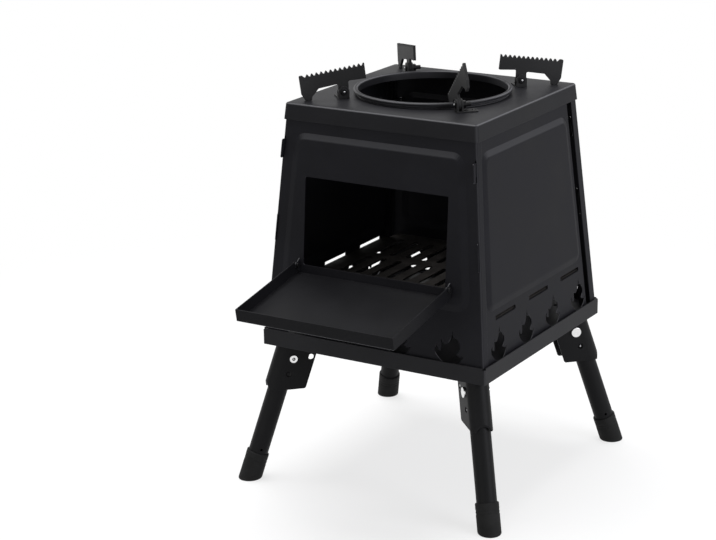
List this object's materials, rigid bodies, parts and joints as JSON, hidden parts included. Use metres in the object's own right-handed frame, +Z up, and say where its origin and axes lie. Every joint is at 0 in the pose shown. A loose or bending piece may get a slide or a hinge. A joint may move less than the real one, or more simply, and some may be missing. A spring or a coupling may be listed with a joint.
{
  "type": "camping wood stove",
  "caption": "Tapered sheet-steel camp stove on folding legs, with a drop-down feed door, a grate over a draught base, and tipping toothed pot supports round its top opening.",
  "frame": {"origin": "on the ground, under the middle of the box that the stove fills with its door open", "axes": "+Z up; the feed door faces -Y; +X to the right of someone who faces the door"},
  "size_m": [0.3578, 0.4516, 0.5247],
  "materials": {
    "base_paint": "matt black heat paint",
    "wall_paint": "matt black heat paint",
    "top_paint": "satin black heat paint",
    "door_paint": "matt black heat paint",
    "support_paint": "matt black heat paint",
    "leg_paint": "satin black paint",
    "tube_paint": "satin black paint",
    "grate_iron": "bare, darkened by heat",
    "black_steel": "blackened steel",
    "pin_steel": "plain zinc",
    "bolt_steel": "polished",
    "foot_rubber": "matt"
  },
  "bodies": {
    "stove_body": {"base_tray": "base_paint", "front_panel": "wall_paint", "rear_panel": "wall_paint", "left_panel": "wall_paint", "right_panel": "wall_paint", "top_plate": "top_paint", "fire_grate": "grate_iron", "door_pins": "black_steel", "pot_support_pins": "black_steel", "bracket_rivets": "black_steel", "pivot_washers": "black_steel", "mount_rivets": "black_steel", "pot_bracket_fl": "support_paint", "pot_bracket_fr": "support_paint", "pot_bracket_rl": "support_paint", "pot_bracket_rr": "support_paint", "leg_mount_fl": "leg_paint", "leg_mount_fr": "leg_paint", "leg_mount_rl": "leg_paint", "leg_mount_rr": "leg_paint", "pivot_bolt_fl": "bolt_steel", "pivot_bolt_fr": "bolt_steel", "pivot_bolt_rl": "bolt_steel", "pivot_bolt_rr": "bolt_steel"},
    "feed_door": {"feed_door": "door_paint"},
    "pot_support_fl": {"pot_support_fl": "support_paint"},
    "pot_support_fr": {"pot_support_fr": "support_paint"},
    "pot_support_rl": {"pot_support_rl": "support_paint"},
    "pot_support_rr": {"pot_support_rr": "support_paint"},
    "leg_fl": {"leg_head_fl": "leg_paint", "leg_tube_fl": "tube_paint", "foot_cap_fl": "foot_rubber", "cross_pin_fl": "pin_steel"},
    "leg_fr": {"leg_head_fr": "leg_paint", "leg_tube_fr": "tube_paint", "foot_cap_fr": "foot_rubber", "cross_pin_fr": "pin_steel"},
    "leg_rl": {"leg_head_rl": "leg_paint", "leg_tube_rl": "tube_paint", "foot_cap_rl": "foot_rubber", "cross_pin_rl": "pin_steel"},
    "leg_rr": {"leg_head_rr": "leg_paint", "leg_tube_rr": "tube_paint", "foot_cap_rr": "foot_rubber", "cross_pin_rr": "pin_steel"}
  },
  "joints": [
    {"name": "door_hinge", "type": "hinge", "parent": "stove_body", "child": "feed_door", "pos_m": [0, -0.10012, 0.27608], "axis": [-1, 0, 0], "range_deg": [0, 105.22]},
    {"name": "pot_support_fl_tip", "type": "hinge", "parent": "stove_body", "child": "pot_support_fl", "pos_m": [-0.07672, -0.02986, 0.47275], "axis": [-0.7071, 0.7071, 0], "range_deg": [0, 45.93]},
    {"name": "pot_support_fr_tip", "type": "hinge", "parent": "stove_body", "child": "pot_support_fr", "pos_m": [0.07672, -0.02986, 0.47275], "axis": [-0.7071, -0.7071, 0], "range_deg": [-45.93, 0]},
    {"name": "pot_support_rl_tip", "type": "hinge", "parent": "stove_body", "child": "pot_support_rl", "pos_m": [-0.07672, 0.12358, 0.47275], "axis": [0.7071, 0.7071, 0], "range_deg": [0, 45.93]},
    {"name": "pot_support_rr_tip", "type": "hinge", "parent": "stove_body", "child": "pot_support_rr", "pos_m": [0.07672, 0.12358, 0.47275], "axis": [0.7071, -0.7071, 0], "range_deg": [0, 45.93]},
    {"name": "leg_fl_fold", "type": "hinge", "parent": "stove_body", "child": "leg_fl", "pos_m": [-0.12622, -0.07936, 0.153], "axis": [0.7071, -0.7071, 0], "range_deg": [0, 105]},
    {"name": "leg_fr_fold", "type": "hinge", "parent": "stove_body", "child": "leg_fr", "pos_m": [0.12622, -0.07936, 0.153], "axis": [0.7071, 0.7071, 0], "range_deg": [0, 105]},
    {"name": "leg_rl_fold", "type": "hinge", "parent": "stove_body", "child": "leg_rl", "pos_m": [-0.12622, 0.17308, 0.153], "axis": [-0.7071, -0.7071, 0], "range_deg": [0, 105]},
    {"name": "leg_rr_fold", "type": "hinge", "parent": "stove_body", "child": "leg_rr", "pos_m": [0.12622, 0.17308, 0.153], "axis": [-0.7071, 0.7071, 0], "range_deg": [0, 105]}
  ]
}
